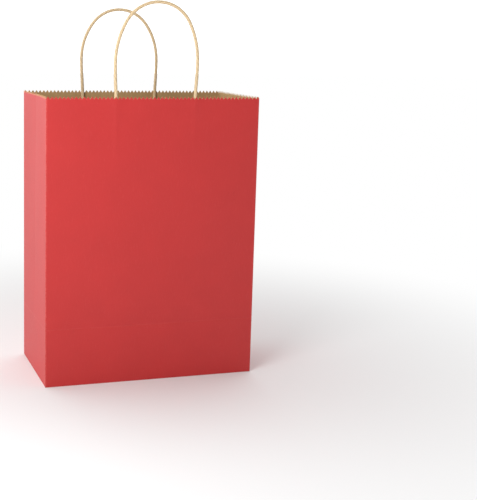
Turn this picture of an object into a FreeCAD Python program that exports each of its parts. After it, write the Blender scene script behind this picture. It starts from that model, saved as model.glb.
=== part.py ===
import FreeCAD, Part

import math
import os

# A paper gift bag that stands open: one sheet of red kraft paper folded into a block-bottomed
# tube with gusseted sides, two glued kraft patches inside the mouth, and a loop of twisted
# paper cord under each patch. Millimetres, +Z up, front towards -Y, the origin on the floor
# below the middle of the bag. The sheet is cut at its creases, so that every panel that turns
# about a crease is a solid of its own.

# --- Driving dimensions ----------------------------------------------------------------------
BAG_WIDTH = 203.0
BAG_DEPTH = 108.0
BAG_HEIGHT = 267.0
PAPER = 0.2
TOOTH_PITCH = 3.6
TOOTH_DEPTH = 2.5

BOTTOM_PLIES = 3
BOTTOM_LAP = 22.0
TUCK_LAP = 10.0
TUCK_CORNER = 12.0
GLUE_LAP_WIDTH = 16.0
CREASE_ROOM = 1.5
CORNER_LIFT = 0.8

CORD_DIAMETER = 3.0
LEG_SPACING = 75.0
LEG_BOW = 1.4
LEG_BOW_HEIGHT = 30.0
HANDLE_RISE = 54.5
CROWN_EASE = 5.2
CORD_TAIL = 40.0
REAR_HANDLE_SHIFT = -5.0
REAR_HANDLE_DROP = 5.0

PATCH_WIDTH = 130.0
PATCH_HEIGHT = 45.0
PATCH_BELOW_MOUTH = 11.0
RIDGE_PLAY = 0.05

# --- Worked out from them --------------------------------------------------------------------
half_width = BAG_WIDTH / 2
half_depth = BAG_DEPTH / 2
foot_height = half_depth
patch_top = BAG_HEIGHT - PATCH_BELOW_MOUTH
patch_bottom = patch_top - PATCH_HEIGHT
cord_radius = CORD_DIAMETER / 2
cord_inset = 2 * PAPER + cord_radius
shoulder_height = BAG_HEIGHT + LEG_BOW_HEIGHT
bottom_stack = BOTTOM_PLIES * PAPER
lap_bottom = bottom_stack + CREASE_ROOM

X = FreeCAD.Vector(1, 0, 0)
Y = FreeCAD.Vector(0, 1, 0)
Z = FreeCAD.Vector(0, 0, 1)

REAR_RIGHT = FreeCAD.Vector(half_width, half_depth, 0)
REAR_LEFT = FreeCAD.Vector(-half_width, half_depth, 0)
FRONT_LEFT = FreeCAD.Vector(-half_width, -half_depth, 0)
FRONT_RIGHT = FreeCAD.Vector(half_width, -half_depth, 0)
MIDDLE_LEFT = FreeCAD.Vector(-half_width, 0, 0)
MIDDLE_RIGHT = FreeCAD.Vector(half_width, 0, 0)

os.makedirs("parts", exist_ok=True)


def save(name, *solids):
    """Write one node: a single solid, or several alike as a group."""
    shape = solids[0] if len(solids) == 1 else Part.makeCompound(list(solids))
    shape.exportStep("parts/" + name + ".step")
    print(name, "%.1f mm3" % shape.Volume, "valid", shape.isValid())


def prism(corners, push):
    """The closed polygon through corners, pushed along a vector into a solid."""
    wire = Part.makePolygon(corners + corners[:1])
    return Part.Face(wire).extrude(push)


# --- The body sheet's upright panels -----------------------------------------------------------

def panel(corner_a, corner_b, outline, mitre_a=False, mitre_b=False):
    """A panel of the sheet that stands between two points of the bag's outer plan, met in
    anticlockwise order. The outline is a list of (distance from corner_a, height). A mitred
    end is cut at 45 degrees, so that it meets the next panel along the folded corner."""
    run = corner_b - corner_a
    along = run / run.Length
    inward = Z.cross(along)
    face = [corner_a + along * s + Z * z for s, z in outline]
    slab = prism(face, inward * PAPER)
    inner_a = corner_a + inward * PAPER + along * (PAPER if mitre_a else 0)
    inner_b = corner_b + inward * PAPER - along * (PAPER if mitre_b else 0)
    plan = prism([corner_a, corner_b, inner_b, inner_a], Z * BAG_HEIGHT)
    return slab.common(plan).Solids[0]


def pinked(length):
    """The zigzag cut of the mouth along a panel: whole teeth, with a valley at each end."""
    count = round(length / TOOTH_PITCH)
    pitch = length / count
    points = [(0, BAG_HEIGHT - TOOTH_DEPTH)]
    for tooth in range(count):
        points.append(((tooth + 0.5) * pitch, BAG_HEIGHT))
        points.append(((tooth + 1) * pitch, BAG_HEIGHT - TOOTH_DEPTH))
    return points


def back_wall():
    """The back wall, from the floor to the mouth."""
    outline = [(BAG_WIDTH, 0), (0, 0)] + pinked(BAG_WIDTH)
    return panel(REAR_RIGHT, REAR_LEFT, outline, True, True)


def front_wall():
    """The front wall, from its cross crease to the mouth."""
    outline = [(BAG_WIDTH, foot_height), (0, foot_height)] + pinked(BAG_WIDTH)
    return panel(FRONT_LEFT, FRONT_RIGHT, outline, True, True)


def front_foot():
    """The strip of the front wall below its cross crease."""
    outline = [(0, 0), (BAG_WIDTH, 0), (BAG_WIDTH, foot_height), (0, foot_height)]
    return panel(FRONT_LEFT, FRONT_RIGHT, outline, True, True)


def gusset_rear(side):
    """The rear half of a gusset. Below the cross crease it narrows along the diagonal crease
    that runs down to the rear corner, where it stops just clear of the bottom's plies."""
    teeth = pinked(half_depth)
    if side == "left":
        outline = [(half_depth, foot_height), (0, CORNER_LIFT)] + teeth
        return panel(REAR_LEFT, MIDDLE_LEFT, outline, mitre_a=True)
    outline = [(half_depth, CORNER_LIFT), (0, foot_height)] + teeth
    return panel(MIDDLE_RIGHT, REAR_RIGHT, outline, mitre_b=True)


def gusset_front(side):
    """The front half of a gusset, above the cross crease."""
    outline = [(half_depth, foot_height), (0, foot_height)] + pinked(half_depth)
    if side == "left":
        return panel(MIDDLE_LEFT, FRONT_LEFT, outline, mitre_b=True)
    return panel(FRONT_RIGHT, MIDDLE_RIGHT, outline, mitre_a=True)


def foot_centre(side):
    """The triangle between a gusset's two diagonal creases, standing on the bottom's edge."""
    apex = (half_depth, foot_height)
    outline = [(0, 0), (BAG_DEPTH, 0), (BAG_DEPTH, CORNER_LIFT), apex, (0, CORNER_LIFT)]
    if side == "left":
        return panel(REAR_LEFT, FRONT_LEFT, outline, True, True)
    return panel(FRONT_RIGHT, REAR_RIGHT, outline, True, True)


def foot_front(side):
    """The triangle below the front half of a gusset, hinged on the front foot."""
    if side == "left":
        outline = [(0, foot_height), (half_depth, CORNER_LIFT), (half_depth, foot_height)]
        return panel(MIDDLE_LEFT, FRONT_LEFT, outline, mitre_b=True)
    outline = [(0, CORNER_LIFT), (half_depth, foot_height), (0, foot_height)]
    return panel(FRONT_RIGHT, MIDDLE_RIGHT, outline, mitre_a=True)


def glue_lap():
    """The flap beyond the back wall's right-hand edge, glued inside it to close the tube."""
    right = half_width - PAPER - CREASE_ROOM
    low = FreeCAD.Vector(right - GLUE_LAP_WIDTH, half_depth - 2 * PAPER, lap_bottom)
    height = BAG_HEIGHT - TOOTH_DEPTH - lap_bottom
    return Part.makeBox(GLUE_LAP_WIDTH, PAPER, height, low)


# --- The block bottom -----------------------------------------------------------------------

def bottom_ply(corners, layer):
    """One flat ply of the bottom. Layer 0 lies on the floor."""
    face = [FreeCAD.Vector(x, y, layer * PAPER) for x, y in corners]
    return prism(face, Z * PAPER)


def bottom_flap(face, layer):
    """A flap of the bottom, hinged on the front (face = -1) or back (face = 1) wall. Its ends
    follow the 45 degree creases to the middle and run on straight over the glued lap."""
    edge = half_depth - PAPER
    wide = half_width - PAPER
    narrow = wide - edge
    lap = -BOTTOM_LAP / 2
    half = [(wide, edge), (narrow, 0), (narrow, lap)]
    corners = half + [(-x, y) for x, y in reversed(half)]
    return bottom_ply([(x, face * y) for x, y in corners], layer)


def bottom_tuck(hand):
    """The end of a gusset, folded in on top of the flaps, past the point where their creases
    meet. hand is -1 on the left, 1 on the right."""
    edge = half_depth - PAPER
    wide = half_width - PAPER
    inner = wide - edge - TUCK_LAP
    corners = [
        (wide, edge),
        (inner + TUCK_CORNER, edge),
        (inner, edge - TUCK_CORNER),
        (inner, TUCK_CORNER - edge),
        (inner + TUCK_CORNER, -edge),
        (wide, -edge),
    ]
    return bottom_ply([(hand * x, y) for x, y in corners], BOTTOM_PLIES - 1)


# --- Handle patches and handles ---------------------------------------------------------------

def at_wall(shape, face):
    """Turn a piece made for the front wall (face = -1) round to the back wall (face = 1), where
    the handle and its patch are glued on a little to the left of the middle."""
    if face < 0:
        return shape
    turned = shape.copy()
    turned.rotate(FreeCAD.Vector(0, 0, 0), Z, 180)
    turned.translate(X * REAR_HANDLE_SHIFT)
    return turned


def patch_base(face):
    """The ply of a handle patch that is glued to the wall."""
    low = FreeCAD.Vector(-PATCH_WIDTH / 2, -half_depth + PAPER, patch_bottom)
    return at_wall(Part.makeBox(PATCH_WIDTH, PAPER, PATCH_HEIGHT, low), face)


def patch_cover(face):
    """The ply glued over the cord's ends. Its plan is a sheet pressed into a ridge, with 45
    degree flanks, over each end of the cord."""
    rise = CORD_DIAMETER + RIDGE_PLAY
    crest = cord_radius / 2
    flank = rise
    lift = PAPER * math.tan(math.radians(45) / 2)
    inside = -half_depth + 2 * PAPER
    ridge = [(-crest - flank, 0), (-crest, rise), (crest, rise), (crest + flank, 0)]
    under = [(-PATCH_WIDTH / 2, 0)]
    over = [(-PATCH_WIDTH / 2, PAPER)]
    for leg in (-LEG_SPACING / 2, LEG_SPACING / 2):
        for x, y in ridge:
            under.append((leg + x, y))
            over.append((leg + x + math.copysign(lift, x), y + PAPER))
    under.append((PATCH_WIDTH / 2, 0))
    over.append((PATCH_WIDTH / 2, PAPER))
    plan = under + over[::-1]
    face_points = [FreeCAD.Vector(x, inside + y, patch_bottom) for x, y in plan]
    return at_wall(prism(face_points, Z * PATCH_HEIGHT), face)


def cord_tails(face):
    """Both ends of a handle's cord, held between the plies of its patch."""
    tails = []
    for leg in (-LEG_SPACING / 2, LEG_SPACING / 2):
        foot = FreeCAD.Vector(leg, -half_depth + cord_inset, patch_top - CORD_TAIL)
        tails.append(at_wall(Part.makeCylinder(cord_radius, CORD_TAIL, foot, Z), face))
    return tails


def arc_through(centre, radius, start, end):
    """An arc in the plane of the handle, from start to end in degrees, 0 along +X, 90 up."""
    points = []
    for angle in (start, (start + end) / 2, end):
        turn = math.radians(angle)
        points.append(centre + X * radius * math.cos(turn) + Z * radius * math.sin(turn))
    return Part.Arc(*points).toShape()


def handle_path(face):
    """The middle line of a handle, from the patch's top edge at the right, over the crown and
    down to the left. Each leg bows outwards in an S of two equal arcs. A side arc and the
    crown arc then make half an oval, all tangent. The rear handle's crown is a little lower."""
    reach = LEG_SPACING / 2 + LEG_BOW
    crown_radius = reach - CROWN_EASE
    y = -half_depth + cord_inset
    s_height = shoulder_height - patch_top
    s_radius = (s_height ** 2 + LEG_BOW ** 2) / (4 * LEG_BOW)
    s_turn = math.degrees(math.asin(s_height / 2 / s_radius))
    rise = HANDLE_RISE - (REAR_HANDLE_DROP if face > 0 else 0)
    drop = rise - crown_radius
    side_radius = (reach ** 2 + drop ** 2 - crown_radius ** 2) / (2 * CROWN_EASE)
    side_turn = math.degrees(math.atan2(drop, side_radius - reach))

    def place(x, z):
        return FreeCAD.Vector(x, y, z)

    foot_centre_point = place(LEG_SPACING / 2 + s_radius, patch_top)
    knee_centre_point = place(reach - s_radius, shoulder_height)
    right_centre_point = place(reach - side_radius, shoulder_height)
    crown_centre_point = place(0, shoulder_height + drop)
    right = [
        arc_through(foot_centre_point, s_radius, 180, 180 - s_turn),
        arc_through(knee_centre_point, s_radius, -s_turn, 0),
        arc_through(right_centre_point, side_radius, 0, side_turn),
    ]
    crown = arc_through(crown_centre_point, crown_radius, side_turn, 180 - side_turn)
    left = [edge.mirror(FreeCAD.Vector(0, 0, 0), X) for edge in reversed(right)]
    return Part.Wire(Part.sortEdges(right + [crown] + left)[0])


def handle_loop(face):
    """The free part of a handle's cord, a round bar along its middle line."""
    path = handle_path(face)
    start = FreeCAD.Vector(LEG_SPACING / 2, -half_depth + cord_inset, patch_top)
    disc = Part.Face(Part.Wire(Part.makeCircle(cord_radius, start, Z)))
    loop = path.makePipe(disc)
    solid = loop.Solids[0] if loop.Solids else Part.makeSolid(loop)
    wanted = math.pi * cord_radius ** 2 * path.Length
    print("handle cord: free length %.1f mm, volume %.1f of %.1f mm3"
          % (path.Length, solid.Volume, wanted))
    print("handle cord: whole length %.1f mm" % (path.Length + 2 * CORD_TAIL))
    return at_wall(solid, face)


# --- The bag ----------------------------------------------------------------------------------

save("back_wall", back_wall())
save("front_wall", front_wall())
save("front_foot", front_foot())
save("glue_lap", glue_lap())
for side in ("left", "right"):
    save(side + "_gusset_rear", gusset_rear(side))
    save(side + "_gusset_front", gusset_front(side))
    save(side + "_foot_centre", foot_centre(side))
    save(side + "_foot_front", foot_front(side))
save("bottom_flap_front", bottom_flap(-1, 0))
save("bottom_flap_rear", bottom_flap(1, 1))
save("left_bottom_tuck", bottom_tuck(-1))
save("right_bottom_tuck", bottom_tuck(1))
for name, face in (("front", -1), ("rear", 1)):
    save(name + "_patch_base", patch_base(face))
    save(name + "_patch_cover", patch_cover(face))
    save(name + "_cord_tails", *cord_tails(face))
    save(name + "_handle", handle_loop(face))
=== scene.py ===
import math

import bmesh
import bpy
import numpy as np
from bpy.props import FloatProperty, FloatVectorProperty, PointerProperty
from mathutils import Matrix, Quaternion, Vector


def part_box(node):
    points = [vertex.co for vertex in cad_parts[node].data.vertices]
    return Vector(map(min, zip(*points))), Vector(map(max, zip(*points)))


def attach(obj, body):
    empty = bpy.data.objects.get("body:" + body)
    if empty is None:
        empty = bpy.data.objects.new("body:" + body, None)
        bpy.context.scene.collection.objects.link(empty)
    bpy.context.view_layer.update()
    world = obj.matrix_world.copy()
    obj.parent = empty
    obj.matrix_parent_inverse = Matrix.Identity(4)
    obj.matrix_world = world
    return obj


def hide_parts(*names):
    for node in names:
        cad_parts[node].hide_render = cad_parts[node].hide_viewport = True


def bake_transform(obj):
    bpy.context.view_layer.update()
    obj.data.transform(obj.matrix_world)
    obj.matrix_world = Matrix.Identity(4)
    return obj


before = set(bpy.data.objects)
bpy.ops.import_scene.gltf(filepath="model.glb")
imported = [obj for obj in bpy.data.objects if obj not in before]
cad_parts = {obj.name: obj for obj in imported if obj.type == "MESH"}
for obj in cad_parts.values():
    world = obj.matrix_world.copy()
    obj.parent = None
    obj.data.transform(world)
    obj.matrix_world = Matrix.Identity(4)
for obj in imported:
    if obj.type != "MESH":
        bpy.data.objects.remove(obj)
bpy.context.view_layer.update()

bl_info = {
    "name": "Paper Gift Bag",
    "version": (1, 0, 0),
    "blender": (4, 5, 0),
    "location": "View3D > Sidebar > Gift Bag",
    "description": "A gusseted kraft-paper gift bag with twisted cord handles",
    "category": "Add Mesh",
}

MM = 0.001

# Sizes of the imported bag, in metres.
BACK_LOW, BACK_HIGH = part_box("back_wall")
HALF_WIDTH = BACK_HIGH.x
HALF_DEPTH = BACK_HIGH.y
HEIGHT = BACK_HIGH.z
PAPER = BACK_HIGH.y - BACK_LOW.y
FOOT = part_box("front_wall")[0].z
CORNER_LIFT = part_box("left_gusset_rear")[0].z
TAIL_LOW, TAIL_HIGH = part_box("front_cord_tails")
LOOP_LOW, LOOP_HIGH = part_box("front_handle")
CORD_RADIUS = (LOOP_HIGH.y - LOOP_LOW.y) / 2
LEG = (TAIL_HIGH.x - TAIL_LOW.x) / 2 - CORD_RADIUS
REACH = (LOOP_HIGH.x - LOOP_LOW.x) / 2 - CORD_RADIUS
BOW_HEIGHT = 30.0 * MM
CROWN_EASE = 5.2 * MM
TUCK_CORNER = 12 * MM           # cut off each far corner of a bottom tuck
TOOTH_MARGIN = 0.5 * MM         # level paper left between the last row and the teeth
MERGE = 0.002 * MM              # points nearer than this are one
LAP_PLAY = 0.01 * MM            # glue between the back wall and the lap
RIDGE_PLAY = 0.05 * MM          # air between a tail and the cover ply over it
CORD_PLAY = 0.03 * MM           # glue between a cord and the base ply
CORD_SIDES = 30                 # points round a cord
CORD_STEP = 0.55 * MM           # distance between them along it

# The stage.
FLOOR_SIZE = 8.0                # half the floor's width
FLOOR_LEVEL = -0.05 * MM        # just under the bag, so that they don't share a plane
FLOOR_FADE = (0.15, 0.6)        # from the bag's own shadow to the even glow
KEY_SIZE, KEY_PLACE = 0.3, (-0.42, -0.44, 0.41)
FILL_SIZE, FILL_PLACE = 1.2, (-0.4, -0.6, 1.4)
LIGHT_AIM = 0.6                 # of the bag's height
CAMERA_AZIMUTH, CAMERA_ELEVATION, CAMERA_ROLL = -17.2, 9.25, 1.08
CAMERA_DISTANCE, CAMERA_TARGET = 1.021, (0.0115, 0.0, 0.156)
CAMERA_SHIFT = (0.18, -0.085)
CAMERA_CLIP = (0.05, 50.0)
SENSOR_WIDTH = 36.0

CORNERS = {
    "rear_right": np.array([HALF_WIDTH, HALF_DEPTH, 0.0]),
    "rear_left": np.array([-HALF_WIDTH, HALF_DEPTH, 0.0]),
    "front_left": np.array([-HALF_WIDTH, -HALF_DEPTH, 0.0]),
    "front_right": np.array([HALF_WIDTH, -HALF_DEPTH, 0.0]),
    "middle_left": np.array([-HALF_WIDTH, 0.0, 0.0]),
    "middle_right": np.array([HALF_WIDTH, 0.0, 0.0]),
}
UP = np.array([0.0, 0.0, 1.0])

# Each wide wall: its corners in order, its body, which way it faces, and how its waves start.
WALLS = {
    "front": {"ends": ("front_left", "front_right"), "body": "front_panel", "face": -1,
              "phase": 0.4},
    "rear": {"ends": ("rear_right", "rear_left"), "body": "back_panel", "face": 1,
             "phase": 1.9},
}


def handle_middle(wall):
    """Where the middle of a wall's handle lies, across the bag."""
    low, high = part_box(wall + "_cord_tails")
    return (low.x + high.x) / 2


# --- Sizes and colours a user would change -----------------------------------------------------

class SheetSettings(bpy.types.PropertyGroup):
    """The body sheet: how it is cut, folded and printed."""

    tooth_pitch: FloatProperty(
        name="Tooth pitch", description="Width of one tooth of the zigzag mouth",
        default=3.6 * MM, unit="LENGTH")
    tooth_depth: FloatProperty(
        name="Tooth depth", description="Height of one tooth of the zigzag mouth",
        default=2.5 * MM, unit="LENGTH")
    fold_radius: FloatProperty(
        name="Fold radius", description="Outside radius of the folded corners",
        default=0.5 * MM, unit="LENGTH")
    bulge: FloatProperty(
        name="Wall bulge", description="How far the wide walls stand proud in the middle",
        default=2.6 * MM, unit="LENGTH")
    pinch: FloatProperty(
        name="Gusset pinch", description="How far the gussets' middle creases are drawn in",
        default=1.2 * MM, unit="LENGTH")
    ripple: FloatProperty(
        name="Ripple", description="Height of the slow waves in the walls",
        default=0.35 * MM, unit="LENGTH")
    print_colour: FloatVectorProperty(
        name="Print", description="Colour printed on the outside", subtype="COLOR", size=4,
        default=(0.610, 0.029, 0.028, 1.0))
    kraft_colour: FloatVectorProperty(
        name="Kraft", description="Colour of the bare paper inside", subtype="COLOR", size=4,
        default=(0.540, 0.352, 0.170, 1.0))


class CordSettings(bpy.types.PropertyGroup):
    """The twisted paper cord of the handles."""

    twist_pitch: FloatProperty(
        name="Twist pitch", description="Length of one full turn of the cord's twist",
        default=17.0 * MM, unit="LENGTH")
    groove: FloatProperty(
        name="Groove depth", description="Depth of the grooves between the cord's strands",
        default=0.08 * MM, unit="LENGTH")
    lean: FloatProperty(
        name="Crown lean", description="How far the front handle's crown stands off centre",
        default=1.8 * MM, unit="LENGTH")
    cord_colour: FloatVectorProperty(
        name="Cord", description="Colour of the cord's paper", subtype="COLOR", size=4,
        default=(0.800, 0.600, 0.360, 1.0))


class StageSettings(bpy.types.PropertyGroup):
    """The floor, the lights and the camera."""

    floor_colour: FloatVectorProperty(
        name="Floor", description="Colour of the floor", subtype="COLOR", size=4,
        default=(0.86, 0.86, 0.86, 1.0))
    key_power: FloatProperty(
        name="Key light", description="Power of the large light on the left",
        default=2.5, unit="POWER")
    fill_power: FloatProperty(
        name="Fill light", description="Power of the soft light above",
        default=1.6, unit="POWER")
    room_behind: FloatProperty(
        name="Room behind", description="Brightness of the room behind the bag", default=1.45)
    room_before: FloatProperty(
        name="Room before", description="Brightness of the room before the bag", default=0.05)
    lens: FloatProperty(
        name="Lens", description="Focal length", default=75.3 * MM, unit="CAMERA")


# --- Paper shapes ------------------------------------------------------------------------------

def stations(length, pitch, radius, corner_a, corner_b):
    """Distances across a panel, four to a tooth, and the turn of the paper at each, in radians.
    At a folded corner the last ones are an arc: with turn t, it lies radius * (1 - sin t) in
    from the corner. At a flat crease the distances close up instead."""
    teeth = round(length / pitch)
    s = np.linspace(0.0, length, 4 * teeth + 1)
    turn = np.zeros_like(s)
    arc = np.radians([45.0, 33.75, 22.5, 11.25, 0.0])
    near = radius * (1 - np.sin(arc))
    close = np.array([0.0, 0.25, 0.5]) * MM
    room = radius + 0.25 * MM
    inside = (s > (room if corner_a else 0.6 * MM)) & (s < length - (room if corner_b else 0.6 * MM))
    start = (near, -arc) if corner_a else (close, close * 0)
    end = (length - near[::-1], arc[::-1]) if corner_b else (length - close[::-1], close * 0)
    s = np.concatenate([start[0], s[inside], end[0]])
    turn = np.concatenate([start[1], turn[inside], end[1]])
    return s, turn


def rows_between(low, high, step, fine_low, fine_high):
    """Heights from low to high, about a step apart, closing up at an end marked fine."""
    z = np.linspace(low, high, max(2, round((high - low) / step)) + 1)
    close = np.array([0.0, 0.25, 0.5, 0.8, 1.3]) * MM
    gap = close[-1] + 0.4 * MM
    keep = (z > low + (gap if fine_low else 0)) & (z < high - (gap if fine_high else 0))
    first = low + close if fine_low else np.array([low])
    last = high - close[::-1] if fine_high else np.array([high])
    return np.concatenate([first, z[keep], last])


def zigzag(s, length, pitch, depth):
    """Height of the pinked edge at each distance: a triangle wave with a valley at each end."""
    phase = (s / (length / round(length / pitch))) % 1.0
    return HEIGHT - depth * np.abs(2 * phase - 1)


def panel_points(start, end, s, turn, z, depth, radius, lift=0.0):
    """Points and outward normals of one side of a panel, on a grid of distance s and height z.
    The flat face stands between two corners. Each point goes in by depth(across, z), where
    across is its own x or y, and then by lift, along the face's normal. On a corner's arc the
    face is first rounded: with turn t, it goes in by radius * (1 - cos t)."""
    run = end - start
    along = run / np.linalg.norm(run)
    out = np.cross(along, UP)
    axis = 0 if abs(along[0]) > abs(along[1]) else 1
    across = np.broadcast_to(start[axis] + along[axis] * s, z.shape)
    step = 0.1 * MM
    d = depth(across, z)
    slope_s = (depth(across + along[axis] * step, z) - depth(across - along[axis] * step, z))
    slope_z = depth(across, z + step) - depth(across, z - step)
    sine, cosine = np.sin(turn), np.cos(turn)
    base = start + np.outer(s, along) - np.outer(radius * (1 - cosine), out)
    normal = np.outer(cosine, out) + np.outer(sine, along)
    tangent = np.outer(cosine, along) - np.outer(sine, out)
    face = (normal + (slope_s / (2 * step))[..., None] * tangent
            + (slope_z / (2 * step))[..., None] * UP)
    face /= np.linalg.norm(face, axis=-1, keepdims=True)
    points = base + z[..., None] * UP - d[..., None] * normal - lift * face
    return points, face


def grid_faces(rows, columns, first, flip):
    """Quads of a grid of rows by columns points, numbered from first, as an array."""
    i, j = np.meshgrid(np.arange(rows - 1), np.arange(columns - 1), indexing="ij")
    a = first + i * columns + j
    quads = np.stack([a, a + 1, a + 1 + columns, a + columns], axis=-1).reshape(-1, 4)
    return quads[:, ::-1] if flip else quads


def rim_faces(rows, columns, offset):
    """Quads that join the borders of two equal grids, the second numbered offset later, in the
    order bottom, right, top, left."""
    bottom = np.arange(columns)
    right = np.arange(rows) * columns + columns - 1
    top = (rows - 1) * columns + np.arange(columns)[::-1]
    left = np.arange(rows)[::-1] * columns
    sides = []
    for loop in (bottom, right, top, left):
        a, b = loop[:-1], loop[1:]
        sides.append(np.stack([b, a, a + offset, b + offset], axis=-1))
    return sides


def make_object(name, points, faces, indices, materials, sharp=35.0):
    """A mesh object at the origin with smooth faces, edges sharper than an angle left sharp,
    collapsed grid edges merged, and no loose points."""
    mesh = bpy.data.meshes.new(name)
    mesh.from_pydata(points.tolist(), [], [f.tolist() for f in faces])
    for material in materials:
        mesh.materials.append(material)
    mesh.polygons.foreach_set("material_index", np.asarray(indices, dtype=np.int32))
    made = bmesh.new()
    made.from_mesh(mesh)
    bmesh.ops.remove_doubles(made, verts=made.verts, dist=MERGE)
    bmesh.ops.dissolve_degenerate(made, edges=made.edges, dist=MERGE)
    loose = [v for v in made.verts if not v.link_faces]
    bmesh.ops.delete(made, geom=loose, context="VERTS")
    made.to_mesh(mesh)
    made.free()
    mesh.shade_smooth()
    mesh.set_sharp_from_angle(angle=math.radians(sharp))
    mesh.update()
    made_object = bpy.data.objects.new(name, mesh)
    bpy.context.scene.collection.objects.link(made_object)
    return made_object


def sheet_object(name, outer, inner, materials, cut_top=False):
    """A closed thin sheet from two grids of points. Material 0 is on the outer grid, 1 on the
    inner one, and 2 on the cut edge along the top."""
    rows, columns = outer.shape[:2]
    count = rows * columns
    points = np.concatenate([outer.reshape(-1, 3), inner.reshape(-1, 3)])
    front = grid_faces(rows, columns, 0, False)
    back = grid_faces(rows, columns, count, True)
    sides = rim_faces(rows, columns, count)
    faces = np.concatenate([front, back] + sides)
    indices = [0] * len(front) + [1] * len(back)
    for number, side in enumerate(sides):
        indices += [2 if cut_top and number == 2 else 0] * len(side)
    return make_object(name, points, faces, indices, materials)


def note_wear_and_highlight(piece, mask):
    """Stores, from 0 to 1, how far the ink at each point is rubbed thin and how much painted highlight
    it gets along folds and edges, as a point attribute on the mesh. mask takes the points' coordinates
    as three arrays."""
    mesh = piece.data
    co = np.empty(len(mesh.vertices) * 3)
    mesh.vertices.foreach_get("co", co)
    x, y, z = co.reshape(-1, 3).T
    values = np.clip(mask(x, y, z), 0.0, 1.0).astype(np.float32)
    mesh.attributes.new("wear", "FLOAT", "POINT").data.foreach_set("value", values)


def place(piece, body, slot, *nodes):
    """Lets a piece ride on its body and stand for its CAD nodes, which it hides. slot is not used."""
    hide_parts(*nodes)
    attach(piece, body)


def bell(distance, width):
    """1 at distance 0, falling off smoothly over a width."""
    return np.exp(-(distance / width) ** 2)


def floor_edge(z):
    """How far the paper turns in where it folds under the bag: the last millimetre."""
    return 0.35 * MM * np.clip(1 - z / (1.0 * MM), 0, 1) ** 2


def wall_depth(sheet, wall):
    """How far a wide wall's face lies inside the flat: minus a bulge that is nothing at the
    corners and below the cross crease, a few slow waves, the ridges of the cord's tails, and a
    groove at the cross crease."""
    phase, middle = WALLS[wall]["phase"], handle_middle(wall)

    def depth(x, z):
        arch = np.cos(np.clip(x / (2 * HALF_WIDTH), -0.5, 0.5) * math.pi)
        rise = 1 - np.exp(-np.clip(z - FOOT, 0, None) / (38 * MM))
        settle = 1 - 0.30 * np.clip(z / HEIGHT, 0, 1.1) ** 4
        wave = (np.sin(x / (31 * MM) + 2.1 * z / (90 * MM) + phase)
                + 0.8 * np.sin(x / (19 * MM) - z / (47 * MM) + 2.3 * phase)
                + 0.6 * np.sin(z / (23 * MM) + x / (70 * MM) - phase))
        tail = 1 / (1 + np.exp((TAIL_LOW.z - z) / (2.5 * MM)))
        off = np.abs(x - middle) - LEG
        ridge = bell(off, 2.6 * MM) * tail
        swell = bell(off, 7 * MM) * bell(z - HEIGHT, 22 * MM)
        flat = (sheet.bulge * settle + sheet.ripple * wave) * arch * rise
        raised = 0.16 * MM * ridge + 0.45 * MM * swell
        return floor_edge(z) - flat - raised + 0.06 * MM * bell(z - FOOT, 0.8 * MM)
    return depth


def diagonal(y):
    """Height of a gusset's diagonal crease: from just over the floor at a corner to the cross
    crease in the middle."""
    return CORNER_LIFT + (FOOT - CORNER_LIFT) * (1 - np.abs(y) / HALF_DEPTH)


def gusset_depth(sheet, phase):
    """How far a gusset's face lies inside the flat: a shallow fold about its middle crease that
    deepens from nothing at the cross crease to the mouth, with slow waves and a groove at each
    crease."""
    def depth(y, z):
        away = np.clip(np.abs(y) / HALF_DEPTH, 0, 1)
        rise = np.clip((z - FOOT) / (HEIGHT - FOOT), 0, 1.1)
        fold = rise ** 0.7 * (1 - away)
        wave = (np.sin(z / (29 * MM) + y / (25 * MM) + phase)
                + 0.7 * np.sin(z / (51 * MM) - y / (17 * MM) + 2 * phase))
        calm = (1 - away ** 2) * (1 - np.exp(-np.clip(z - FOOT, 0, None) / (38 * MM)))
        above = 1 / (1 + np.exp((FOOT - z) / (3 * MM)))
        groove = 0.10 * MM * bell(y, 0.5 * MM) * above
        groove = groove + 0.08 * MM * bell(z - FOOT, 0.6 * MM) * (1 - away ** 8)
        groove = groove + 0.05 * MM * bell(z - diagonal(y), 0.7 * MM) * (1 - above)
        return floor_edge(z) + sheet.pinch * fold + 0.5 * sheet.ripple * wave * calm + groove
    return depth


def standing_panel(name, start, end, low, high, depth, sheet, materials, options):
    """One upright panel of the body sheet. low and high give the height of its lower and upper
    edge at each distance. Options: corner_a and corner_b for a folded corner at each end,
    pinked for the zigzag mouth, knee for a height where the rows change from following a
    slanting lower edge to lying level."""
    start, end = CORNERS[start], CORNERS[end]
    length = np.linalg.norm(end - start)
    corner_a, corner_b = options.get("corner_a", False), options.get("corner_b", False)
    s, turn = stations(length, sheet.tooth_pitch, sheet.fold_radius, corner_a, corner_b)
    bottom, top = low(s, length), high(s, length)
    parts = []
    if "knee" in options:
        share = rows_between(0.0, 1.0, 0.04, False, False)[:, None]
        parts.append(bottom + share * (options["knee"] - bottom))
        bottom = np.full_like(s, options["knee"])
    if options.get("pinked", False):
        even = HEIGHT - sheet.tooth_depth - TOOTH_MARGIN
        level = rows_between(bottom[0], even, 2.6 * MM, True, False)
        parts.append(np.repeat(level[:, None], len(s), axis=1))
        parts.append(zigzag(s, length, sheet.tooth_pitch, sheet.tooth_depth)[None, :])
    elif not parts:
        share = rows_between(0.0, 1.0, options.get("share", 0.03), False, False)[:, None]
        edge = np.array([0.25, 0.5, 0.8, 1.2])[:, None] * MM / FOOT
        share = np.concatenate([share[:1], edge, share[1:-1], 1 - edge[::-1], share[-1:]])
        parts.append(bottom + share * (top - bottom))
    z = np.concatenate(parts)
    outer, face = panel_points(start, end, s, turn, z, depth, sheet.fold_radius)
    return sheet_object(name, outer, outer - PAPER * face, materials,
                        cut_top=options.get("pinked", False))


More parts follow.
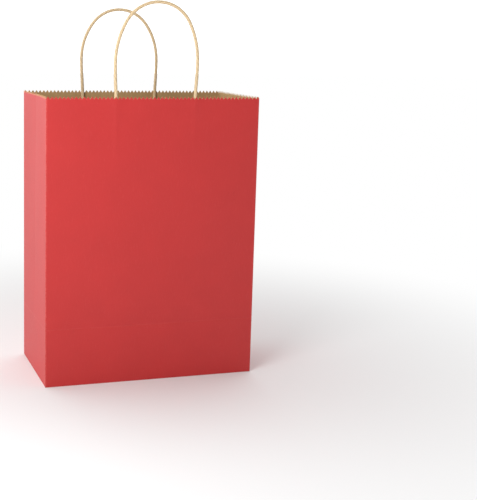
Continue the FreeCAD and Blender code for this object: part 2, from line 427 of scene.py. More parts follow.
def fold_wear_and_highlight(x, y, z):
    """Rubbed ink on the body sheet, together with painted highlight along its folds: full on the
    folded corners and the creases, some at the mouth.
    """
    to_corner = np.hypot(HALF_WIDTH - np.abs(x), HALF_DEPTH - np.abs(y))
    on_gusset = np.clip(1 - (HALF_WIDTH - np.abs(x)) / (3 * MM), 0, 1)
    above = (z > FOOT).astype(float)
    middle = 0.5 * bell(y, 0.5 * MM) * on_gusset * above
    slant = 0.3 * bell(z - diagonal(y), 0.6 * MM) * on_gusset * (1 - above)
    cross = (0.12 + 0.3 * on_gusset) * bell(z - FOOT, 0.45 * MM)
    mouth = 0.6 * bell(HEIGHT - z, 1.2 * MM)
    floor = 0.8 * bell(z, 0.5 * MM)
    fold = 0.7 * bell(to_corner, 0.9 * MM)
    return np.maximum.reduce([fold, middle, slant, cross, mouth, floor])


def constant(value):
    """An edge at the same height all the way across."""
    return lambda s, length: np.full_like(s, value)


def build_walls(sheet, materials):
    """The back wall, and the front wall above and below its cross crease."""
    both = {"corner_a": True, "corner_b": True}
    top = constant(HEIGHT)
    back = standing_panel(
        "back_wall_sheet", "rear_right", "rear_left", constant(0.0), top,
        wall_depth(sheet, "rear"), sheet, materials, {**both, "pinked": True})
    place(back, "back_panel", "bag_sheet", "back_wall")
    front_face = wall_depth(sheet, "front")
    front = standing_panel(
        "front_wall_sheet", "front_left", "front_right", constant(FOOT), top,
        front_face, sheet, materials, {**both, "pinked": True})
    place(front, "front_panel", "bag_sheet", "front_wall")
    foot = standing_panel(
        "front_foot_sheet", "front_left", "front_right", constant(0.0), constant(FOOT),
        front_face, sheet, materials, {**both, "share": 0.05})
    place(foot, "front_foot_strip", "bag_sheet", "front_foot")
    for piece in (back, front, foot):
        note_wear_and_highlight(piece, fold_wear_and_highlight)


def build_gussets(sheet, materials):
    """Both gussets: on each side a rear half, a front half and the two triangles of the foot."""
    for side, sign in (("left", -1), ("right", 1)):
        depth = gusset_depth(sheet, 0.7 + 1.1 * sign)
        rear, middle, front = "rear_" + side, "middle_" + side, "front_" + side
        slant = {
            "rear": lambda s, length, left=sign < 0: diagonal(HALF_DEPTH - s if left else s),
            "front": lambda s, length, left=sign < 0: diagonal(s if left else HALF_DEPTH - s),
            "whole": lambda s, length: diagonal(HALF_DEPTH - s),
        }

        def ends(a, b, corner_at_a):
            """The two ends in anticlockwise order, with the folded corner marked."""
            if sign < 0:
                return (a, b), {"corner_a" if corner_at_a else "corner_b": True}
            return (b, a), {"corner_b" if corner_at_a else "corner_a": True}

        (a, b), marks = ends(rear, middle, True)
        piece = standing_panel(
            side + "_gusset_rear_sheet", a, b, slant["rear"], constant(HEIGHT), depth, sheet,
            materials, {**marks, "pinked": True, "knee": FOOT})
        place(piece, side + "_rear_gusset", "bag_sheet", side + "_gusset_rear")
        note_wear_and_highlight(piece, fold_wear_and_highlight)
        (a, b), marks = ends(middle, front, False)
        piece = standing_panel(
            side + "_gusset_front_sheet", a, b, constant(FOOT), constant(HEIGHT), depth, sheet,
            materials, {**marks, "pinked": True})
        place(piece, side + "_front_gusset", "bag_sheet", side + "_gusset_front")
        note_wear_and_highlight(piece, fold_wear_and_highlight)
        piece = standing_panel(
            side + "_foot_front_sheet", a, b, slant["front"], constant(FOOT), depth, sheet,
            materials, marks)
        place(piece, side + "_front_triangle", "bag_sheet", side + "_foot_front")
        note_wear_and_highlight(piece, fold_wear_and_highlight)
        a, b = ends(rear, front, True)[0]
        piece = standing_panel(
            side + "_foot_centre_sheet", a, b, constant(0.0), slant["whole"], depth, sheet,
            materials, {"corner_a": True, "corner_b": True})
        place(piece, side + "_foot_triangle", "bag_sheet", side + "_foot_centre")
        note_wear_and_highlight(piece, fold_wear_and_highlight)


def build_glue_lap(sheet, materials):
    """The flap glued up the inside of the back wall. It is another sheet on the same bulging
    face, one paper further in."""
    low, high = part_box("glue_lap")
    start, end = CORNERS["rear_right"], CORNERS["rear_left"]
    s = HALF_WIDTH - np.linspace(high.x, low.x, 17)
    z = np.repeat(rows_between(low.z, high.z, 4 * MM, True, True)[:, None], len(s), axis=1)
    depth = wall_depth(sheet, "rear")
    flat = np.zeros_like(s)
    outer, face = panel_points(start, end, s, flat, z, depth, 0.0, lift=PAPER + LAP_PLAY)
    lap = sheet_object("glue_lap_sheet", outer, outer - PAPER * face, materials)
    place(lap, "back_panel", "bag_sheet", "glue_lap")
    note_wear_and_highlight(lap, lambda x, y, z: 0.5 * bell(x - low.x, 0.8 * MM))


def ply_object(name, x, y, level, materials):
    """One ply of the bottom, from grids of x and y. Its lower face is at level, lifted a little
    by slow waves that are nothing at the walls."""
    inside = (1 - (x / HALF_WIDTH) ** 2) * (1 - (y / HALF_DEPTH) ** 2)
    wave = 0.5 + 0.5 * np.sin(x / (23 * MM) + y / (19 * MM) + 1.0)
    z = level + 0.35 * MM * inside * wave
    lower = np.stack([x, y, z], axis=-1)
    upper = np.stack([x, y, z + PAPER * 0.97], axis=-1)
    return sheet_object(name, lower, upper, materials)


def build_bottom(sheet, materials):
    """The four plies of the block bottom. A flap's half width shrinks at 45 degrees from the
    wall to the middle and then stays; a tuck reaches in past the point where the flaps' edges
    meet, with its far corners cut off."""
    share = np.linspace(-1.0, 1.0, 61)
    for name, side in (("front", -1), ("rear", 1)):
        low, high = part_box("bottom_flap_" + name)
        wall = low.y if side < 0 else high.y
        lap = high.y if side < 0 else low.y
        y = np.linspace(wall, lap, 25)[:, None]
        half = np.maximum(high.x - (HALF_DEPTH - PAPER) + np.abs(y) * (y * side > 0), 0)
        x = half * share[None, :]
        y = np.broadcast_to(y, x.shape)
        if side > 0:
            x, y = x[:, ::-1], y[:, ::-1]
        ply = ply_object("bottom_flap_%s_sheet" % name, x[:, ::-1], y[:, ::-1], low.z, materials)
        place(ply, "bottom_panel", "bag_sheet", "bottom_flap_" + name)
        ends = high.x - (HALF_DEPTH - PAPER)
        note_wear_and_highlight(ply, lambda x, y, z: bell(np.abs(x) - ends - np.abs(y), 0.8 * MM))
    for name, side in (("left", -1), ("right", 1)):
        low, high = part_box(name + "_bottom_tuck")
        wall = low.x if side < 0 else high.x
        tip = high.x if side < 0 else low.x
        x = np.linspace(wall, tip, 25)[None, :]
        cut = np.clip(TUCK_CORNER - np.abs(x - tip), 0, None)
        y = (high.y - cut) * np.linspace(-1.0, 1.0, 41)[:, None]
        x = np.broadcast_to(x, y.shape)
        if side < 0:
            x, y = x[:, ::-1], y[:, ::-1]
        ply = ply_object(name + "_bottom_tuck_sheet", x, y, low.z, materials)
        place(ply, "bottom_panel", "bag_sheet", name + "_bottom_tuck")
        note_wear_and_highlight(ply, lambda x, y, z: 0.4 * bell(x - wall, 0.8 * MM))


# --- Handle patches and cords -------------------------------------------------------------------

def patch_ply(name, wall, depth, extra, lift, materials):
    """One ply of a handle patch: a sheet on the wall's own face, lifted off it by lift and by
    extra(x, z)."""
    start, end = WALLS[wall]["ends"]
    low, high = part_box(wall + "_patch_base")
    face = WALLS[wall]["face"]
    across = np.linspace(low.x, high.x, 241)[::-face]
    s = HALF_WIDTH - face * across
    z = rows_between(low.z, high.z, 1.6 * MM, True, True)
    z = np.repeat(z[:, None], len(s), axis=1)

    def raised(x, height):
        return depth(x, height) + extra(x, height)

    outer, normal = panel_points(CORNERS[start], CORNERS[end], s, s * 0, z, raised, 0.0, lift)
    return sheet_object(name, outer, outer - PAPER * normal, materials)


def tail_ridge(x, z):
    """Height of the cover ply over the cord's tails, with x counted from the handle's middle: a
    rounded ridge with hollow flanks, which runs out below the tail's end, and fine wrinkles
    beside it."""
    off = np.abs(np.abs(x) - LEG)
    crest = 2 * CORD_RADIUS + RIDGE_PLAY
    fall = np.clip((off - 0.9 * MM) / (2.9 * MM), 0, 1)
    profile = crest * (1 - fall * fall * (3 - 2 * fall))
    end = 1 / (1 + np.exp((TAIL_LOW.z - 1.2 * MM - z) / (0.8 * MM)))
    wrinkle = 0.05 * MM * np.sin(z / (0.9 * MM) + 3 * np.sin(z / (7 * MM)))
    wrinkle = wrinkle * bell(off - 4 * MM, 3 * MM)
    return profile * end + np.clip(wrinkle, 0, None)


def build_patches(sheet, materials):
    """Two plies inside each wide wall, the base flat on it and the cover over the tails."""
    for wall, facts in WALLS.items():
        middle, top = handle_middle(wall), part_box(wall + "_patch_base")[1].z
        depth = wall_depth(sheet, wall)
        base = patch_ply(wall + "_patch_base_sheet", wall, depth,
                         lambda x, z: 0 * x, PAPER, materials)
        place(base, facts["body"], "patch", wall + "_patch_base")
        cover = patch_ply(wall + "_patch_cover_sheet", wall, depth,
                          lambda x, z: tail_ridge(x - middle, z), 2 * PAPER, materials)
        place(cover, facts["body"], "patch", wall + "_patch_cover")
        for piece in (base, cover):
            note_wear_and_highlight(piece, lambda x, y, z: 0.8 * bell(z - top, 0.7 * MM))


def handle_line(top, step):
    """Points of a handle's middle line in its own plane, as x and z, from the lower end of the
    right tail over the crown, whose top is given, to the left one. The tail is straight. The
    leg swings out by the bow in an S of two equal arcs, and a side arc and a crown arc make
    half an oval."""
    bow = REACH - LEG
    shoulder = HEIGHT + BOW_HEIGHT
    rise = shoulder - TAIL_HIGH.z
    s_radius = (rise ** 2 + bow ** 2) / (4 * bow)
    s_turn = math.asin(rise / 2 / s_radius)
    crown = REACH - CROWN_EASE
    drop = top - shoulder - crown
    side = (REACH ** 2 + drop ** 2 - crown ** 2) / (2 * (REACH - crown))
    side_turn = math.atan2(drop, side - REACH)

    def arc(x, z, radius, a, b):
        t = np.linspace(a, b, max(3, round(abs(b - a) * radius / step)))
        return np.stack([x + radius * np.cos(t), z + radius * np.sin(t)], axis=-1)[1:]

    tail = np.linspace(TAIL_LOW.z, TAIL_HIGH.z, round((TAIL_HIGH.z - TAIL_LOW.z) / step))
    right = np.concatenate([
        np.stack([np.full_like(tail, LEG), tail], axis=-1),
        arc(LEG + s_radius, TAIL_HIGH.z, s_radius, math.pi, math.pi - s_turn),
        arc(REACH - s_radius, shoulder, s_radius, -s_turn, 0.0),
        arc(REACH - side, shoulder, side, 0.0, side_turn),
        arc(0.0, shoulder + drop, crown, side_turn, math.pi / 2),
    ])
    left = right[-2::-1] * np.array([-1.0, 1.0])
    return np.concatenate([right, left])


def cord_object(name, line, settings, seed, materials):
    """A twisted paper cord along a line of points. Round the line the radius is the cord's own,
    less grooves between three strands that turn with the twist pitch, the step of the paper
    strip's edge on a longer pitch, and a little seeded unevenness along the line."""
    around = CORD_SIDES
    tangent = np.gradient(line, axis=0)
    tangent /= np.linalg.norm(tangent, axis=1, keepdims=True)
    side = np.cross(tangent, np.array([0.0, 1.0, 0.0]))
    side /= np.linalg.norm(side, axis=1, keepdims=True)
    across = np.cross(side, tangent)
    steps = np.linalg.norm(np.diff(line, axis=0), axis=1)
    s = np.concatenate([[0.0], np.cumsum(steps)])[:, None]
    angle = np.linspace(0.0, 2 * math.pi, around, endpoint=False)[None, :]
    random = np.random.default_rng(seed)
    waves = random.uniform(0, 2 * math.pi, 6)
    helix = angle - 2 * math.pi * s / settings.twist_pitch
    strand = np.abs(np.sin(1.5 * helix)) ** 0.7
    edge = (helix * 0.5 / math.pi + 0.31 * np.sin(s / (13 * MM) + waves[0])) % 1.0
    fine = np.sin(9 * helix + 2.0 * np.sin(s / (5 * MM) + waves[1]))
    thick = sum(np.sin(s / (length * MM) + wave) for length, wave in zip((4.3, 9.7, 21.0), waves[2:]))
    radius = (CORD_RADIUS * (1 + 0.012 * thick) - settings.groove * (1 - strand)
              - 0.05 * MM * edge + 0.018 * MM * fine)
    points = (line[:, None, :] + (radius * np.cos(angle))[..., None] * side[:, None, :]
              + (radius * np.sin(angle))[..., None] * across[:, None, :])
    rows = len(line)
    i, j = np.meshgrid(np.arange(rows - 1), np.arange(around), indexing="ij")
    k = (j + 1) % around
    quads = np.stack([i * around + j, (i + 1) * around + j,
                      (i + 1) * around + k, i * around + k], axis=-1).reshape(-1, 4)
    mesh = bpy.data.meshes.new(name)
    faces = [q.tolist() for q in quads]
    faces.append(list(range(around)))
    faces.append([(rows - 1) * around + n for n in range(around)][::-1])
    mesh.from_pydata(points.reshape(-1, 3).tolist(), [], faces)
    for material in materials:
        mesh.materials.append(material)
    mesh.shade_smooth()
    mesh.set_sharp_from_angle(angle=math.radians(50))
    lay = np.stack([np.cos(helix), np.sin(helix), np.broadcast_to(s / (8 * MM), helix.shape)], axis=-1)
    attribute = mesh.attributes.new("lay", "FLOAT_VECTOR", "POINT")
    attribute.data.foreach_set("vector", lay.astype(np.float32).ravel())
    # The groove attribute holds painted shade: how much the cord's colour is darkened in the grooves
    # between strands and at the strip's edge step.
    groove = mesh.attributes.new("groove", "FLOAT", "POINT")
    depth = (1 - strand) * 0.8 + 0.2 * edge
    groove.data.foreach_set("value", depth.astype(np.float32).ravel())
    mesh.update()
    piece = bpy.data.objects.new(name, mesh)
    bpy.context.scene.collection.objects.link(piece)
    return piece


def build_handles(sheet, cords, materials):
    """Both handles, each one cord from tail to tail. A cord lies on the base ply of its patch
    and follows the wall's bulge; its crown leans a little."""
    handles = (("front", cords.lean, 1.2 * MM, 11), ("rear", -0.35 * cords.lean, 0.8 * MM, 12))
    for wall, sway, lean, seed in handles:
        facts = WALLS[wall]
        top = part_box(wall + "_handle")[1].z - CORD_RADIUS
        flat = handle_line(top, CORD_STEP)
        x, z = handle_middle(wall) + flat[:, 0], flat[:, 1]
        depth = wall_depth(sheet, wall)(x, np.minimum(z, TAIL_HIGH.z))
        above = np.clip((z - HEIGHT) / (top - HEIGHT), 0, 1)
        leg_depth = depth[0] + (depth[-1] - depth[0]) * (REACH - flat[:, 0]) / (2 * REACH)
        depth = np.where(z > TAIL_HIGH.z, leg_depth, depth)
        inward = 2 * PAPER + CORD_RADIUS + CORD_PLAY + depth + lean * above ** 2
        waver = 0.25 * MM * np.sin(z / (17 * MM) + np.sign(flat[:, 0])) * above
        y = facts["face"] * (HALF_DEPTH - inward)
        line = np.stack([x + sway * above ** 1.5 + waver, y, z], axis=-1)
        cord = cord_object(wall + "_handle_cord", line, cords, seed, materials)
        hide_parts(wall + "_handle", wall + "_cord_tails")
        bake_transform(cord)


# --- Finishes -----------------------------------------------------------------------------------

def add_node(tree, kind, settings=None, **links):
    """A shader node with its settings set, and its inputs linked or given a value by name.
    An underscore in an input's name stands for a space."""
    node = tree.nodes.new(kind)
    for key, value in (settings or {}).items():
        setattr(node, key, value)
    for key, value in links.items():
        socket = node.inputs[int(key[1:])] if key[0] == "i" and key[1:].isdigit() else \
            node.inputs[key.replace("_", " ")]
        if isinstance(value, bpy.types.NodeSocket):
            tree.links.new(value, socket)
        else:
            socket.default_value = value
    return node


def new_group(name, inputs, outputs):
    """An empty shader node group with named float, vector or colour sockets."""
    group = bpy.data.node_groups.new(name, "ShaderNodeTree")
    kinds = {"float": "NodeSocketFloat", "vector": "NodeSocketVector", "colour": "NodeSocketColor"}
    for socket, kind in inputs:
        group.interface.new_socket(name=socket, in_out="INPUT", socket_type=kinds[kind])
    for socket, kind in outputs:
        group.interface.new_socket(name=socket, in_out="OUTPUT", socket_type=kinds[kind])
    return group, group.nodes.new("NodeGroupInput"), group.nodes.new("NodeGroupOutput")


def fibre_group():
    """Paper Fibres: short pale and dark hairs lying every way in the sheet, from three noises
    stretched along three directions, and the height they give the surface."""
    group, source, result = new_group(
        "Paper Fibres", [("Vector", "vector"), ("Scale", "float")],
        [("Pale", "float"), ("Dark", "float"), ("Height", "float")])
    size = add_node(group, "ShaderNodeVectorMath", {"operation": "SCALE"},
                    Vector=source.outputs["Vector"], Scale=source.outputs["Scale"])
    hairs = []
    for turn, stretch in (((0.3, 0.5, 0.2), 0.10), ((1.2, 0.4, 1.0), 0.13), ((0.7, 1.3, 2.1), 0.09)):
        lay = add_node(group, "ShaderNodeMapping", None, Vector=size.outputs["Vector"],
                       Rotation=turn, Scale=(1.0, 1.0, stretch))
        noise = add_node(group, "ShaderNodeTexNoise", None, Vector=lay.outputs["Vector"],
                         Scale=1.0, Detail=2.0, Roughness=0.55)
        hairs.append(noise.outputs["Fac"])
    pair = add_node(group, "ShaderNodeMath", {"operation": "MAXIMUM"}, i0=hairs[0], i1=hairs[1])
    pale = add_node(group, "ShaderNodeMapRange", None, Value=pair.outputs[0],
                    From_Min=0.60, From_Max=0.78)
    dark = add_node(group, "ShaderNodeMapRange", None, Value=hairs[2], From_Min=0.64, From_Max=0.80)
    height = add_node(group, "ShaderNodeMath", {"operation": "SUBTRACT"},
                      i0=pale.outputs["Result"], i1=dark.outputs["Result"])
    group.links.new(pale.outputs["Result"], result.inputs["Pale"])
    group.links.new(dark.outputs["Result"], result.inputs["Dark"])
    group.links.new(height.outputs[0], result.inputs["Height"])
    return group


def mottle_group():
    """Paper Mottle: uneven density of the sheet, cloudy at two sizes, from 0 to 1."""
    group, source, result = new_group(
        "Paper Mottle", [("Vector", "vector"), ("Scale", "float")],
        [("Cloud", "float"), ("Grain", "float")])
    size = add_node(group, "ShaderNodeVectorMath", {"operation": "SCALE"},
                    Vector=source.outputs["Vector"], Scale=source.outputs["Scale"])
    cloud = add_node(group, "ShaderNodeTexNoise", None, Vector=size.outputs["Vector"],
                     Scale=1.0, Detail=4.0, Roughness=0.6)
    grain = add_node(group, "ShaderNodeTexNoise", None, Vector=size.outputs["Vector"],
                     Scale=26.0, Detail=3.0, Roughness=0.7)
    group.links.new(cloud.outputs["Fac"], result.inputs["Cloud"])
    group.links.new(grain.outputs["Fac"], result.inputs["Grain"])
    return group


def wear_and_highlight_group():
    """Fold rubbing and painted highlight: the attribute of rubbed ink and painted highlight, broken up
    by fine noise as ink rubbed off a fold is.
    """
    group, source, result = new_group(
        "Fold Wear", [("Vector", "vector"), ("Wear", "float"), ("Amount", "float")],
        [("Mask", "float")])
    noise = add_node(group, "ShaderNodeTexNoise", None, Vector=source.outputs["Vector"],
                     Scale=900.0, Detail=3.0, Roughness=0.65)
    rough = add_node(group, "ShaderNodeMapRange", None, Value=noise.outputs["Fac"],
                     From_Min=0.35, From_Max=0.70)
    part = add_node(group, "ShaderNodeMath", {"operation": "MULTIPLY"},
                    i0=source.outputs["Wear"], i1=rough.outputs["Result"])
    mask = add_node(group, "ShaderNodeMath", {"operation": "MULTIPLY", "use_clamp": True},
                    i0=part.outputs[0], i1=source.outputs["Amount"])
    group.links.new(mask.outputs[0], result.inputs["Mask"])
    return group


def use_group(tree, group, **links):
    """Places a node group in a material, with its inputs linked or set."""
    return add_node(tree, "ShaderNodeGroup", {"node_tree": group}, **links)


def shade(colour, factor):
    """A colour made lighter or darker by a factor."""
    return tuple(min(1.0, c * factor) for c in colour[:3]) + (1.0,)


def mix(tree, factor, a, b):
    """A colour between a and b. Each may be a socket or a plain colour."""
    node = add_node(tree, "ShaderNodeMix", {"data_type": "RGBA"})
    for socket, value in ((node.inputs["Factor"], factor), (node.inputs[6], a), (node.inputs[7], b)):
        if isinstance(value, bpy.types.NodeSocket):
            tree.links.new(value, socket)
        else:
            socket.default_value = value
    return node.outputs[2]


def scaled(tree, value, factor, add=0.0):
    """value * factor + add, as a socket."""
    return add_node(tree, "ShaderNodeMath", {"operation": "MULTIPLY_ADD"},
                    i0=value, i1=factor, i2=add).outputs[0]


def new_material(name):
    """A material with its node tree, its shader and the object's own coordinates."""
    material = bpy.data.materials.new(name)
    material.use_nodes = True
    tree = material.node_tree
    shader = tree.nodes["Principled BSDF"]
    place_socket = add_node(tree, "ShaderNodeTexCoord").outputs["Object"]
    return material, tree, shader, place_socket


def printed_paper(groups, colour):
    """The red outside: flexo print on kraft, cloudy and pricked with pale fibres, satin, with the ink
    thinner on folds and a painted highlight along them."""
    material, tree, shader, where = new_material("red_printed_kraft")
    mottle = use_group(tree, groups["mottle"], Vector=where, Scale=34.0)
    fibres = use_group(tree, groups["fibres"], Vector=where, Scale=1500.0)
    wear_highlight_node = add_node(tree, "ShaderNodeAttribute", {"attribute_name": "wear"})
    wear = use_group(tree, groups["wear"], Vector=where, Wear=wear_highlight_node.outputs["Fac"], Amount=0.55)
    base = mix(tree, mottle.outputs["Cloud"], shade(colour, 0.93), shade(colour, 1.07))
    base = mix(tree, scaled(tree, mottle.outputs["Grain"], 0.24), base, shade(colour, 0.80))
    base = mix(tree, scaled(tree, fibres.outputs["Pale"], 0.10), base, (0.78, 0.16, 0.15, 1.0))
    base = mix(tree, scaled(tree, fibres.outputs["Dark"], 0.20), base, shade(colour, 0.62))
    # Paler on folds, creases and edges: partly rubbed ink, partly painted highlight along them.
    base = mix(tree, wear.outputs["Mask"], base, (0.80, 0.27, 0.24, 1.0))
    tree.links.new(base, shader.inputs["Base Color"])
    gloss = scaled(tree, mottle.outputs["Grain"], 0.16, 0.42)
    tree.links.new(gloss, shader.inputs["Roughness"])
    shader.inputs["Specular IOR Level"].default_value = 0.5
    height = add_node(tree, "ShaderNodeMath", {"operation": "MULTIPLY_ADD"},
                      i0=mottle.outputs["Grain"], i1=0.9, i2=fibres.outputs["Height"])
    bump = add_node(tree, "ShaderNodeBump", None, Height=height.outputs[0],
                    Strength=0.22, Distance=0.05 * MM)
    tree.links.new(bump.outputs["Normal"], shader.inputs["Normal"])
    return material


def bare_kraft(name, groups, colour, pale_share):
    """Unprinted kraft: brown, cloudy, full of pale and dark fibres, and matt."""
    material, tree, shader, where = new_material(name)
    mottle = use_group(tree, groups["mottle"], Vector=where, Scale=46.0)
    fibres = use_group(tree, groups["fibres"], Vector=where, Scale=1150.0)
    base = mix(tree, mottle.outputs["Cloud"], shade(colour, 0.86), shade(colour, 1.14))
    base = mix(tree, scaled(tree, mottle.outputs["Grain"], 0.35), base, shade(colour, 0.75))
    base = mix(tree, scaled(tree, fibres.outputs["Pale"], pale_share), base, shade(colour, 1.7))
    base = mix(tree, scaled(tree, fibres.outputs["Dark"], 0.5), base, shade(colour, 0.45))
    tree.links.new(base, shader.inputs["Base Color"])
    tree.links.new(scaled(tree, mottle.outputs["Grain"], 0.15, 0.74), shader.inputs["Roughness"])
    shader.inputs["Specular IOR Level"].default_value = 0.25
    height = add_node(tree, "ShaderNodeMath", {"operation": "MULTIPLY_ADD"},
                      i0=mottle.outputs["Grain"], i1=1.1, i2=fibres.outputs["Height"])
    bump = add_node(tree, "ShaderNodeBump", None, Height=height.outputs[0],
                    Strength=0.4, Distance=0.07 * MM)
    tree.links.new(bump.outputs["Normal"], shader.inputs["Normal"])
    return material


def twisted_cord(groups, colour):
    """The cord's paper: pale, streaked along its own twist, with painted shade darkening the grooves.
    """
    material, tree, shader, where = new_material("twisted_cord_paper")
    lay = add_node(tree, "ShaderNodeAttribute", {"attribute_name": "lay"})
    groove_shade = add_node(tree, "ShaderNodeAttribute", {"attribute_name": "groove"})
    stretch = add_node(tree, "ShaderNodeMapping", None, Vector=lay.outputs["Vector"],
                       Scale=(4.5, 4.5, 0.9))
    streak = add_node(tree, "ShaderNodeTexNoise", None, Vector=stretch.outputs["Vector"],
                      Scale=1.6, Detail=5.0, Roughness=0.65)
    fibres = use_group(tree, groups["fibres"], Vector=where, Scale=1700.0)
    base = mix(tree, streak.outputs["Fac"], shade(colour, 0.74), shade(colour, 1.26))
    base = mix(tree, scaled(tree, fibres.outputs["Dark"], 0.35), base, shade(colour, 0.55))
    base = mix(tree, scaled(tree, fibres.outputs["Pale"], 0.25), base, shade(colour, 1.4))
    # Painted shade: darker in the grooves between strands and at the strip's edge step.
    base = mix(tree, scaled(tree, groove_shade.outputs["Fac"], 0.5), base, shade(colour, 0.48))
    tree.links.new(base, shader.inputs["Base Color"])
    tree.links.new(scaled(tree, streak.outputs["Fac"], 0.2, 0.55), shader.inputs["Roughness"])
    shader.inputs["Specular IOR Level"].default_value = 0.3
    bump = add_node(tree, "ShaderNodeBump", None, Height=streak.outputs["Fac"],
                    Strength=0.5, Distance=0.12 * MM)
    tree.links.new(bump.outputs["Normal"], shader.inputs["Normal"])
    return material


def finishes(scene):
    """All the bag's materials by name, made the first time that one is asked for."""
    names = ("red_printed_kraft", "bare_kraft_inside", "kraft_cut_edge", "twisted_cord_paper")
    if names[0] not in bpy.data.materials:
        groups = {"fibres": fibre_group(), "mottle": mottle_group(), "wear": wear_and_highlight_group()}
        sheet, cords = scene.bag_sheet, scene.bag_cords
        printed_paper(groups, sheet.print_colour)
        bare_kraft("bare_kraft_inside", groups, sheet.kraft_colour, 0.35)
        bare_kraft("kraft_cut_edge", groups, shade(sheet.kraft_colour, 1.9), 0.5)
        twisted_cord(groups, cords.cord_colour)
    return [bpy.data.materials[name] for name in names]


# --- Stage --------------------------------------------------------------------------------------

def soft_light(name, power, size, place_at, look_at):
    """A square white area light at a point, turned towards another."""
    data = bpy.data.lights.new(name, "AREA")
    data.energy, data.size = power, size
    light = bpy.data.objects.new(name, data)
    light.location = place_at
    aim = np.array(look_at, dtype=float) - np.array(place_at, dtype=float)
    light.rotation_mode = "QUATERNION"
    light.rotation_quaternion = Vector(aim).to_track_quat("-Z", "Y")
    bpy.context.scene.collection.objects.link(light)


def build_floor(stage):
    """A wide pale floor. Away from the bag it glows evenly, so that no edge shows far off."""
    size, level = FLOOR_SIZE, FLOOR_LEVEL
    mesh = bpy.data.meshes.new("floor")
    corners = [(-size, -size, level), (size, -size, level), (size, size, level), (-size, size, level)]
    mesh.from_pydata(corners, [], [(0, 1, 2, 3)])
    floor = bpy.data.objects.new("floor", mesh)
    bpy.context.scene.collection.objects.link(floor)
    material, tree, shader, where = new_material("pale_floor")
    shader.inputs["Base Color"].default_value = stage.floor_colour
    shader.inputs["Roughness"].default_value = 0.9
    away = add_node(tree, "ShaderNodeVectorMath", {"operation": "LENGTH"}, i0=where)
    share = add_node(tree, "ShaderNodeMapRange", {"interpolation_type": "SMOOTHSTEP"},
                     Value=away.outputs["Value"], From_Min=FLOOR_FADE[0],
                     From_Max=FLOOR_FADE[1])
    glow = add_node(tree, "ShaderNodeEmission", None, Color=(1.0, 1.0, 1.0, 1.0), Strength=1.0)
    both = add_node(tree, "ShaderNodeMixShader", None, i0=share.outputs["Result"],
                    i1=shader.outputs["BSDF"], i2=glow.outputs["Emission"])
    tree.links.new(both.outputs["Shader"], tree.nodes["Material Output"].inputs["Surface"])
    mesh.materials.append(material)


def build_room(stage):
    """A white room, whose light is weaker before the bag than behind it."""
    world = bpy.data.worlds.new("white_room")
    world.use_nodes = True
    tree = world.node_tree
    direction = add_node(tree, "ShaderNodeTexCoord").outputs["Generated"]
    parts = add_node(tree, "ShaderNodeSeparateXYZ", None, Vector=direction)
    light = add_node(tree, "ShaderNodeMapRange", None, Value=parts.outputs["Y"],
                     From_Min=-0.7, From_Max=0.7, To_Min=stage.room_before,
                     To_Max=stage.room_behind)
    seen = add_node(tree, "ShaderNodeLightPath").outputs["Is Camera Ray"]
    strength = add_node(tree, "ShaderNodeMath", {"operation": "MAXIMUM"},
                        i0=light.outputs["Result"], i1=seen)
    background = tree.nodes["Background"]
    background.inputs["Color"].default_value = (1.0, 1.0, 1.0, 1.0)
    tree.links.new(strength.outputs[0], background.inputs["Strength"])
    bpy.context.scene.world = world


def build_camera(stage):
    """The camera in front, a little to the left and above, rolled about a degree."""
    data = bpy.data.cameras.new("camera")
    data.sensor_width = SENSOR_WIDTH
    data.lens = stage.lens / MM
    data.shift_x, data.shift_y = CAMERA_SHIFT
    data.clip_start, data.clip_end = CAMERA_CLIP
    camera = bpy.data.objects.new("camera", data)
    azimuth, elevation, roll = (
        math.radians(angle) for angle in (CAMERA_AZIMUTH, CAMERA_ELEVATION, CAMERA_ROLL))
    back = Vector((math.sin(azimuth) * math.cos(elevation),
                   -math.cos(azimuth) * math.cos(elevation), math.sin(elevation)))
    camera.location = Vector(CAMERA_TARGET) + back * CAMERA_DISTANCE
    camera.rotation_mode = "QUATERNION"
    camera.rotation_quaternion = (-back).to_track_quat("-Z", "Y") @ Quaternion((0, 0, 1), roll)
    bpy.context.scene.collection.objects.link(camera)
    bpy.context.scene.camera = camera


def build_stage(stage):
    """The floor, the room, a large light near by on the left, a soft one above, the camera."""
    build_floor(stage)
    build_room(stage)
    middle = (0.0, 0.0, HEIGHT * LIGHT_AIM)
    soft_light("key", stage.key_power, KEY_SIZE, KEY_PLACE, middle)
    soft_light("fill", stage.fill_power, FILL_SIZE, FILL_PLACE, middle)
    build_camera(stage)
    bpy.context.scene.view_settings.view_transform = "Standard"
    bpy.context.scene.view_settings.look = "None"


# --- Operators ----------------------------------------------------------------------------------

class BAG_OT_walls(bpy.types.Operator):
    """Build the front and back walls and the front foot"""
    bl_idname = "bag.walls"
    bl_label = "Walls"

    def execute(self, context):
        build_walls(context.scene.bag_sheet, finishes(context.scene)[:3])
        return {"FINISHED"}


class BAG_OT_gussets(bpy.types.Operator):
    """Build both gussets with the triangles at their feet"""
    bl_idname = "bag.gussets"
    bl_label = "Gussets"

    def execute(self, context):
        build_gussets(context.scene.bag_sheet, finishes(context.scene)[:3])
        return {"FINISHED"}


class BAG_OT_lap(bpy.types.Operator):
    """Build the glued lap inside the back wall"""
    bl_idname = "bag.lap"
    bl_label = "Glue lap"

    def execute(self, context):
        build_glue_lap(context.scene.bag_sheet, finishes(context.scene)[:3])
        return {"FINISHED"}


class BAG_OT_bottom(bpy.types.Operator):
    """Build the four plies of the block bottom"""
    bl_idname = "bag.bottom"
    bl_label = "Bottom"

    def execute(self, context):
        build_bottom(context.scene.bag_sheet, finishes(context.scene)[:3])
        return {"FINISHED"}


class BAG_OT_patches(bpy.types.Operator):
    """Build the handle patches inside the mouth"""
    bl_idname = "bag.patches"
    bl_label = "Handle patches"

    def execute(self, context):
        kraft = finishes(context.scene)[1]
        build_patches(context.scene.bag_sheet, [kraft, kraft, kraft])
        return {"FINISHED"}


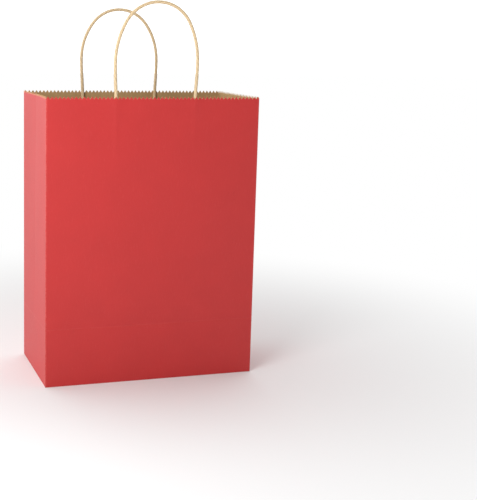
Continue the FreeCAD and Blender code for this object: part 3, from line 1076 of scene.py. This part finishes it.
class BAG_OT_handles(bpy.types.Operator):
    """Build the two twisted cord handles"""
    bl_idname = "bag.handles"
    bl_label = "Handles"

    def execute(self, context):
        scene = context.scene
        build_handles(scene.bag_sheet, scene.bag_cords, finishes(scene)[3:])
        return {"FINISHED"}


class BAG_OT_stage(bpy.types.Operator):
    """Set up the floor, the lights and the camera"""
    bl_idname = "bag.stage"
    bl_label = "Stage"

    def execute(self, context):
        build_stage(context.scene.bag_stage)
        return {"FINISHED"}


class BAG_PT_panel(bpy.types.Panel):
    """The gift bag's settings and its parts, in building order"""
    bl_idname = "BAG_PT_panel"
    bl_label = "Gift Bag"
    bl_space_type = "VIEW_3D"
    bl_region_type = "UI"
    bl_category = "Gift Bag"

    def draw(self, context):
        scene = context.scene
        for settings in (scene.bag_sheet, scene.bag_cords, scene.bag_stage):
            for name in settings.__annotations__:
                self.layout.prop(settings, name)
        for operator in OPERATORS:
            self.layout.operator(operator.bl_idname)


OPERATORS = (BAG_OT_stage, BAG_OT_walls, BAG_OT_gussets, BAG_OT_lap, BAG_OT_bottom,
             BAG_OT_patches, BAG_OT_handles)
CLASSES = (SheetSettings, CordSettings, StageSettings) + OPERATORS + (BAG_PT_panel,)


def register():
    """Makes the settings, the operators and the panel known to Blender."""
    for cls in CLASSES:
        bpy.utils.register_class(cls)
    bpy.types.Scene.bag_sheet = PointerProperty(type=SheetSettings)
    bpy.types.Scene.bag_cords = PointerProperty(type=CordSettings)
    bpy.types.Scene.bag_stage = PointerProperty(type=StageSettings)


def unregister():
    """Takes them away again."""
    del bpy.types.Scene.bag_stage
    del bpy.types.Scene.bag_cords
    del bpy.types.Scene.bag_sheet
    for cls in reversed(CLASSES):
        bpy.utils.unregister_class(cls)


def main():
    register()
    bpy.ops.bag.stage()
    bpy.ops.bag.walls()
    bpy.ops.bag.gussets()
    bpy.ops.bag.lap()
    bpy.ops.bag.bottom()
    bpy.ops.bag.patches()
    bpy.ops.bag.handles()


if __name__ == "__main__":
    main()
